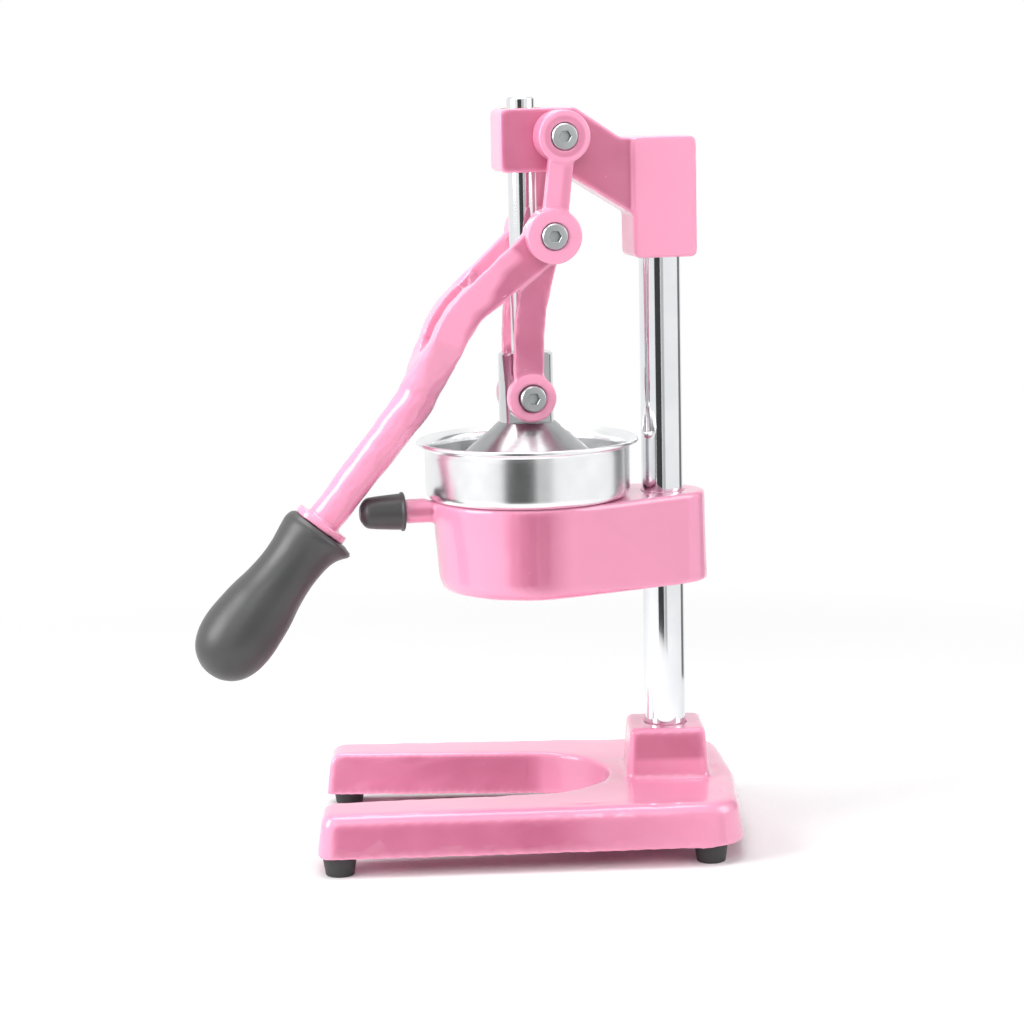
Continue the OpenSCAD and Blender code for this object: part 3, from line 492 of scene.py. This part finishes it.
# %% Softening a casting
def casting(name, source, cube, rounds, lumps, lump_size, finish):
    """A soft copy of an exact node. In mm, cube is its mesh's cell, lumps the height of its unevenness."""
    copy = bpy.data.objects.new(name, frame["nodes"][source].data.copy())
    bpy.context.scene.collection.objects.link(copy)
    rebuild = copy.modifiers.new("rebuild", "REMESH")
    rebuild.mode, rebuild.voxel_size = "VOXEL", cube / 1000
    relax = copy.modifiers.new("relax", "SMOOTH")
    relax.factor, relax.iterations = 0.5, rounds
    thin = copy.modifiers.new("thin", "DECIMATE")
    thin.ratio = 0.5
    ready = copy.evaluated_get(bpy.context.evaluated_depsgraph_get())
    copy.data = bpy.data.meshes.new_from_object(ready)
    copy.modifiers.clear()
    spots = [v.co.copy() for v in copy.data.vertices]
    outward = [n.vector.copy() for n in copy.data.vertex_normals]
    moved = [p + n * (noise.noise(p * 1000 / lump_size) - 0.4) * lumps / 1000
             for p, n in zip(spots, outward)]
    copy.data.vertices.foreach_set("co", [c for p in moved for c in p])
    print("%s: %d faces" % (name, len(copy.data.polygons)))
    return dress(copy, finish, 180)


def place_for(piece, body, slot, *nodes):
    """The piece rides on a body and stands for these nodes. slot is not used."""
    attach(piece, body)
    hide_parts(*nodes)
    return piece


# %% [markdown]
# ## The castings
# Base, head, holder, the two links and the lever are all cast and painted alike. The base and the
# holder are big and soft, the links small, so each gets cells that suit its size.

# %% Base, head and holder
place_for(casting("base_casting", "base", 1.25, 10, 0.35, 14, BASE_ENAMEL), "frame", "paint", "base")
place_for(casting("head_casting", "head", 0.9, 12, 0.15, 14, HEAD_ENAMEL), "frame", "paint", "head")
place_for(casting("holder_casting", "holder", 1.1, 12, 0.2, 14, HOLDER_ENAMEL), "frame", "paint", "holder")

# %% Links and lever
for side in ("near", "far"):
    link = casting("link_%s_casting" % side, "link_" + side, 0.6, 12, 0.15, 9, LINK_ENAMEL)
    place_for(link, "link", "paint", "link_" + side)
lever = casting("lever_casting", "lever", 0.75, 14, 0.6, 9, LEVER_ENAMEL)
place_for(lever, "lever", "paint", "lever")

# %% [markdown]
# ## The grip
# The grip is moulded on the lever's tang. It is a club: a neck behind the collar, a belly further down
# and a full round end, with a beak at the collar that keeps the hand off the lever. The beak is only on
# the underside, so each ring has two radii, one towards the beak and one away from it, and the rings
# are drawn round between them.

# %% Grip
def smooth_table(rows, share, column):
    """The value between rows, with a soft curve through them."""
    shares = [row[0] for row in rows]
    i = max(k for k in range(len(rows)) if shares[k] <= share)
    if i == len(rows) - 1:
        return rows[i][column]
    a, b = rows[i], rows[i + 1]
    t = (share - a[0]) / (b[0] - a[0])

    def slope(k):
        if k <= 0 or k >= len(rows) - 1:
            return 0.0
        return (rows[k + 1][column] - rows[k - 1][column]) / (rows[k + 1][0] - rows[k - 1][0])
    run = b[0] - a[0]
    return ((1 + 2 * t) * (1 - t) ** 2 * a[column] + t * (1 - t) ** 2 * run * slope(i)
            + t * t * (3 - 2 * t) * b[column] + t * t * (t - 1) * run * slope(i + 1))


GRIP_LEAN, GRIP_LONG, GRIP_START = math.radians(51.3), 95.0, (-111.708, 174.537)
GRIP_ROWS = [(0.0, 17.6, 15.4), (0.012, 21.0, 16.6), (0.03, 21.9, 17.3), (0.055, 20.2, 17.7),
             (0.09, 17.9, 17.4), (0.14, 16.3, 16.7), (0.21, 15.5, 15.8), (0.3, 15.4, 15.6),
             (0.41, 16.5, 16.6), (0.52, 18.5, 18.5), (0.62, 19.6, 19.6), (0.72, 20.2, 20.2),
             (0.8, 19.6, 19.6), (0.86, 18.1, 18.1), (0.91, 15.8, 15.8), (0.95, 12.5, 12.5),
             (0.98, 8.2, 8.2), (0.995, 4.2, 4.2), (1.0, 0.0, 0.0)]


def grip():
    along = Vector((-math.cos(GRIP_LEAN), 0, -math.sin(GRIP_LEAN)))
    beak = Vector((math.sin(GRIP_LEAN), 0, -math.cos(GRIP_LEAN)))
    side = Vector((0, 1, 0))
    start = at(GRIP_START[0], 0, GRIP_START[1])
    around, points, faces = 96, [start + along * 0.0004], []
    shares = [0.0, 0.004] + [0.012 + 0.938 * k / 70 for k in range(71)] + [0.965, 0.98, 0.99, 0.996]
    for share in shares:
        under, over = smooth_table(GRIP_ROWS, share, 1), smooth_table(GRIP_ROWS, share, 2)
        for k in range(around):
            angle = 2 * math.pi * k / around
            pull = (0.5 + 0.5 * math.cos(angle)) ** 1.6
            far = (over + (under - over) * pull) / 1000
            points.append(start + along * share * GRIP_LONG / 1000
                          + (beak * math.cos(angle) + side * math.sin(angle)) * far)
    points.append(start + along * GRIP_LONG / 1000)
    for row in range(len(shares) - 1):
        a, b = 1 + row * around, 1 + (row + 1) * around
        faces += [(a + k, a + (k + 1) % around, b + (k + 1) % around, b + k) for k in range(around)]
    end = 1 + (len(shares) - 1) * around
    faces += [(0, 1 + (k + 1) % around, 1 + k) for k in range(around)]
    faces += [(len(points) - 1, end + k, end + (k + 1) % around) for k in range(around)]
    return to_object("grip_rubber", points, faces, GRIP_RUBBER, 60)


place_for(grip(), "lever", "grip_rubber", "grip")

# %% [markdown]
# ## Knob and feet
# The knob is a rubber cap pushed over the holder's bar, with a thin lip at its open end and a bullet
# nose. The feet are plain drafted stubs with a well for the screw, so their profile goes up inside.

# %% Knob
KNOB = rounded([(0, -0.5, 0), (5.1, -0.5, 0.3), (5.1, 0, 0), (9.6, 0, 0), (10.3, 0.3, 0.4),
                (10.3, 1.3, 0.5), (9.5, 2.2, 0.8), (9.3, 6, 3), (8.6, 15, 6), (7.9, 20.6, 5.5),
                (3.6, 23.3, 3), (0, 23.3, 0)])
KNOB_X, KNOB_Z = -66.6, 180.98
knob = turned("knob_rubber", KNOB, at(KNOB_X, 0, KNOB_Z), GRIP_RUBBER, axis=(-1, 0, 0), around=64)
place_for(knob, "frame", "grip_rubber", "holder_knob")

# %% Feet
FOOT = rounded([(2.05, 10, 0), (2.05, 4, 0.2), (4.2, 4, 0.3), (4.2, 0, 0.5), (7.4, 0, 0.9),
                (8.9, 9.9, 0.4), (8.6, 10, 0)], closed=True)
for corner in ("near_front", "far_front", "near_rear", "far_rear"):
    spot = middle("foot_" + corner)
    foot = turned("foot_%s_rubber" % corner, FOOT, Vector((spot.x, spot.y, 0)), FOOT_RUBBER,
                  closed=True, around=64)
    place_for(foot, "frame", "foot_rubber", "foot_" + corner)

# %% [markdown]
# ## Bars
# Post and press rod are plain ground bars. What makes a bar look real is its end: a small chamfer with a
# soft edge, which catches a line of light.

# %% Post and rod
def bar(name, radius, low, high, centre):
    return turned(name, rounded([(0, low, 0), (radius - 0.9, low, 0.3), (radius, low + 0.9, 0.4),
                                 (radius, high - 0.9, 0.4), (radius - 0.9, high, 0.3), (0, high, 0)]),
                  Vector((centre.x, centre.y, 0)), CHROME, around=128)


def reach_of(node):
    low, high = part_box(node)
    return 1000 * low.z, 1000 * high.z


post_low, post_high = reach_of("post")
rod_low, rod_high = reach_of("guide_rod")
POST_R, BORE_R, BORE_TOP = 11, 5.05, post_low + 26.4
POST_LINE = rounded([(BORE_R, BORE_TOP, 0), (BORE_R, post_low, 0.3), (POST_R - 0.9, post_low, 0.3),
                     (POST_R, post_low + 0.9, 0.4), (POST_R, post_high - 0.9, 0.4),
                     (POST_R - 0.9, post_high, 0.3), (0, post_high, 0)])
POST_LINE = [Vector((0, BORE_TOP))] + POST_LINE
post = turned("post_bar", POST_LINE, Vector((POST.x, POST.y, 0)), CHROME, around=128)
place_for(post, "frame", "chrome", "post")
ROD_R = 7.3
place_for(bar("press_rod_bar", ROD_R, rod_low, rod_high, ROD), "plunger", "chrome", "guide_rod")

# %% [markdown]
# ## Bowl and bell
# Both are made of sheet: a disc is drawn over a form, so every corner is round, and the bowl's
# rim is rolled for stiffness. The bowl's profile is one line from the spout, up the funnel, over
# the seat, round the corner and up the wall to the flared lip.

# %% Bowl
axis_foot = Vector((ROD.x, ROD.y, 0))
BOWL_LINE = rounded([(11.4, 140.4, 0), (11.4, 160, 1.5), (43.9, 186.6, 2), (53.4, 186.6, 6.0),
                     (53.4, 210.6, 1), (53.7, 214.0, 3), (57.2, 216.4, 2.2), (57.9, 216.1, 0.5),
                     (57.9, 215.2, 0)], steps=8)
SHEET = 1.2
bowl = turned("bowl_sheet", thickened(BOWL_LINE, SHEET), axis_foot, SPUN, closed=True, around=160, sharp=50)
place_for(bowl, "frame", "stainless", "juice_bowl")

# %% Bell
BELL = rounded([(2.45, 225.9, 0), (14.9, 225.9, 0.8), (31.0, 211.9, 14), (49.3, 196.4, 0.8),
                (48.2, 195.9, 0.5), (46.6, 195.9, 0.4), (29.6, 210.0, 12), (13.9, 223.4, 0.8),
                (2.45, 223.4, 0)], steps=8, closed=True)
bell = turned("bell_sheet", BELL, axis_foot, PRESSED, closed=True, around=160)
place_for(bell, "plunger", "stainless", "press_bell")

# %% [markdown]
# ## Bolts
# A socket head bolt is recognised by three things: a soft edge round its head, a six-sided hole, and
# fine turning marks. The same function makes every pivot bolt, because only sizes differ. A ring of the
# profile can be drawn as a hexagon instead of a circle, which gives the socket without any cutting.

# %% Bolts and nuts
def bolt(name, head_at, axis, head_r, head_h, key_r, shank_r, shank):
    """head_at is the middle of the bearing face, and the axis points from the head to the tip."""
    outside = rounded([(head_r * 0.42, -head_h, 0), (head_r - 0.75, -head_h, 0.5),
                       (head_r, -head_h + 0.9, 0.6), (head_r, 0, 0.15), (shank_r, 0, 0),
                       (shank_r, shank - 0.7, 0.2), (shank_r - 0.7, shank, 0.1), (0, shank, 0)])
    socket = [(0, -head_h * 0.42), (key_r, -head_h * 0.45), (key_r, -head_h + 0.25),
              (key_r * 1.08, -head_h)]
    profile = socket + [tuple(p) for p in outside[1:]]
    return turned(name, profile, head_at, ZINC, axis=axis, around=72, sharp=28,
                  form=lambda i, angle: hexagon(angle) if i < 4 else 1)


def nut(name, face_at, axis, across, height, hole):
    """across is the distance from the axis to a corner."""
    def outline(i, angle):
        return hexagon(angle) if i in (2, 3) else 1
    flat_r = across * 0.84
    profile = [(hole, 0), (flat_r, 0), (across, 0.7), (across, height - 0.7), (flat_r, height),
               (hole, height)]
    return turned(name, profile, face_at, ZINC, axis=axis, closed=True, around=72, sharp=25, form=outline)


def sideways(node):
    """How far a node reaches to the near side and to the far side of the rod's axis, in mm."""
    low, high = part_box(node)
    return 1000 * (ROD.y - low.y), 1000 * (high.y - ROD.y)


for node_name in ("top_pivot_bolt", "elbow_bolts", "lower_pivot_bolt"):
    print(node_name, "reaches %.1f mm near, %.1f mm far" % sideways(node_name))

# %% Pivot bolts
HEAD_R, HEAD_H, KEY_R, SHANK_R = 6.85, 5.6, 3.1, 4.0


def pivot_bolt(name, pivot, stands_for, side, head_out, shank):
    """side is -1 for a head on the near side, 1 for the far side; head_out is the head's outer face."""
    place = at(pivot[0], side * (head_out - HEAD_H), pivot[1])
    piece = bolt(name, place, (0, -side, 0), HEAD_R, HEAD_H, KEY_R, SHANK_R, shank)
    place_for(piece, frame["nodes"][stands_for]["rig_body"], "fastener", stands_for)


for name, pivot, stands_for in (("top_bolt", TOP_PIVOT, "top_pivot_bolt"),
                                ("low_bolt", LOW_PIVOT, "lower_pivot_bolt")):
    near, far = sideways(stands_for)
    pivot_bolt(name, pivot, stands_for, -1, near, near - HEAD_H + far)
ELBOW_SHANK = 11.2
for name, side in (("elbow_bolt_near", -1), ("elbow_bolt_far", 1)):
    pivot_bolt(name, ELBOW, "elbow_bolts", side, sideways("elbow_bolts")[0], ELBOW_SHANK)

# %% Pivot nuts
NUT_R, NUT_HOLE = 7.5, 4.03
for name, pivot, stands_for in (("top_nut", TOP_PIVOT, "top_pivot_nut"),
                                ("low_nut", LOW_PIVOT, "lower_pivot_nut")):
    near, far = sideways(stands_for)
    piece = nut(name, at(pivot[0], -near, pivot[1]), (0, 1, 0), NUT_R, far + near, NUT_HOLE)
    place_for(piece, frame["nodes"][stands_for]["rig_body"], "fastener", stands_for)

# %% Finishes of the pieces that keep their exact shape
FINISH = {"foot_screws": ZINC, "post_bolt": ZINC, "post_washer": ZINC, "head_set_screw": ZINC,
          "holder_set_screw": ZINC, "bell_screw": ZINC, "guide_bush": BRONZE, "column": TURNED,
          "strainer": SPUN}
for name, finish in FINISH.items():
    piece = frame["nodes"][name]
    piece.data.materials.clear()
    piece.data.materials.append(finish)
print("refinished:", len(FINISH), "exact pieces")

# %% [markdown]
# ## The table and the light
# The press stands on a plain white sweep. Two broad lamps stand left and right, one hangs above and one
# fills in from over the camera, and round the camera it is dark. That is what draws the dark line down
# every polished bar, so a dark card stands there that only reflections can see, with a pale card beside
# it and a grey one further round. Far from the press the floor turns into the same white as the
# background.

# %% Rays that see a surface straight
def straight(tree):
    """1 for rays from the camera, a mirror or glass, 0 for the rays that light other things."""
    rays = node(tree, "ShaderNodeLightPath").socket.node.outputs
    camera_ray, mirror_ray, glass_ray = [
        Wire(tree, rays[kind]) for kind in ("Is Camera Ray", "Is Glossy Ray", "Is Transmission Ray")]
    return (camera_ray + mirror_ray + glass_ray).held()


# %% Floor
def floor():
    material, tree, place = fresh("white_sweep")
    away = node(tree, "ShaderNodeVectorMath", {"operation": "LENGTH"}, {0: place}, out="Value")
    tooth = blend(tree, grain(tree, place, 3, 3), shade(244, 244, 244), shade(250, 250, 250))
    paper = node(tree, "ShaderNodeBsdfDiffuse", {}, {"Color": tooth})
    glow = node(tree, "ShaderNodeEmission", {}, {"Color": (1, 1, 1, 1), "Strength": 1.0})
    white_out = away.between(0.3, 0.75) * straight(tree)
    both = node(tree, "ShaderNodeMixShader", {}, {0: white_out, 1: paper, 2: glow})
    node(tree, "ShaderNodeOutputMaterial", {}, {"Surface": both})
    sheet = to_object("floor", [(-4, -4, 0), (4, -4, 0), (4, 4, 0), (-4, 4, 0)], [(0, 1, 2, 3)], material)


floor()

# %% World
world = bpy.data.worlds.new("studio")
bpy.context.scene.world = world
world.use_nodes = True
sky = world.node_tree
sky.nodes.clear()
dim = node(sky, "ShaderNodeBackground", {}, {"Color": (1, 1, 1, 1), "Strength": 0.16})
white = node(sky, "ShaderNodeBackground", {}, {"Color": (1, 1, 1, 1), "Strength": 1.0})
both = node(sky, "ShaderNodeMixShader", {}, {0: straight(sky), 1: dim, 2: white})
node(sky, "ShaderNodeOutputWorld", {}, {"Surface": both})
print("world:", len(sky.nodes), "nodes")

# %% Lamps and cards
def lamp(name, place, aim, wide, high, watts):
    data = bpy.data.lights.new(name, "AREA")
    data.shape, data.size, data.size_y, data.energy = "RECTANGLE", wide, high, watts
    piece = bpy.data.objects.new(name, data)
    bpy.context.scene.collection.objects.link(piece)
    piece.location = place
    piece.rotation_euler = (Vector(aim) - Vector(place)).to_track_quat("-Z", "Y").to_euler()


lamp("left_lamp", (-1.4, -0.3, 0.85), (0, 0, 0.2), 0.8, 1.1, 21)
lamp("right_lamp", (1.35, -0.6, 0.8), (0.05, 0, 0.2), 0.7, 1.0, 9)
lamp("top_lamp", (-0.1, 0.1, 1.5), (0, 0, 0.1), 1.0, 1.0, 15)
lamp("front_lamp", (-0.3, -1.5, 1.1), (0, 0, 0.2), 1.0, 0.8, 9)


def card(name, bearing, width, low, high, distance, grey):
    """A card that only reflections see, bent round the rod, with its bearing to the camera's right."""
    material, tree, place = fresh(name)
    cloud = grain(tree, place, 300, 1) * 0.02 + grey
    glow = node(tree, "ShaderNodeEmission", {}, {"Strength": cloud})
    node(tree, "ShaderNodeOutputMaterial", {}, {"Surface": glow})
    base = math.atan2(-AHEAD.y, -AHEAD.x) + math.radians(bearing)
    steps, points = 12, []
    for k in range(steps + 1):
        angle = base + math.radians(width) * (k / steps - 0.5)
        for z in (low, high):
            points.append((ROD.x + distance * math.cos(angle), ROD.y + distance * math.sin(angle), z))
    faces = [(2 * k, 2 * k + 2, 2 * k + 3, 2 * k + 1) for k in range(steps)]
    piece = to_object(name, points, faces, material)
    piece.visible_camera = piece.visible_diffuse = piece.visible_shadow = False


CARD_LOW, CARD_HIGH, CARD_AWAY = 0.002, 0.7, 0.42
for name, bearing, width, grey in (("dark_card", -8, 34, 0.05), ("soft_card", 19, 14, 0.55),
                                   ("thin_card", 118, 22, 0.2)):
    card(name, bearing, width, CARD_LOW, CARD_HIGH, CARD_AWAY, grey)

# %% [markdown]
# ## Colour
# The picture is shown as the lamps make it, with no film look on top, so that a colour comes out as it
# was chosen.

# %% Colour
bpy.context.scene.view_settings.view_transform = "Standard"
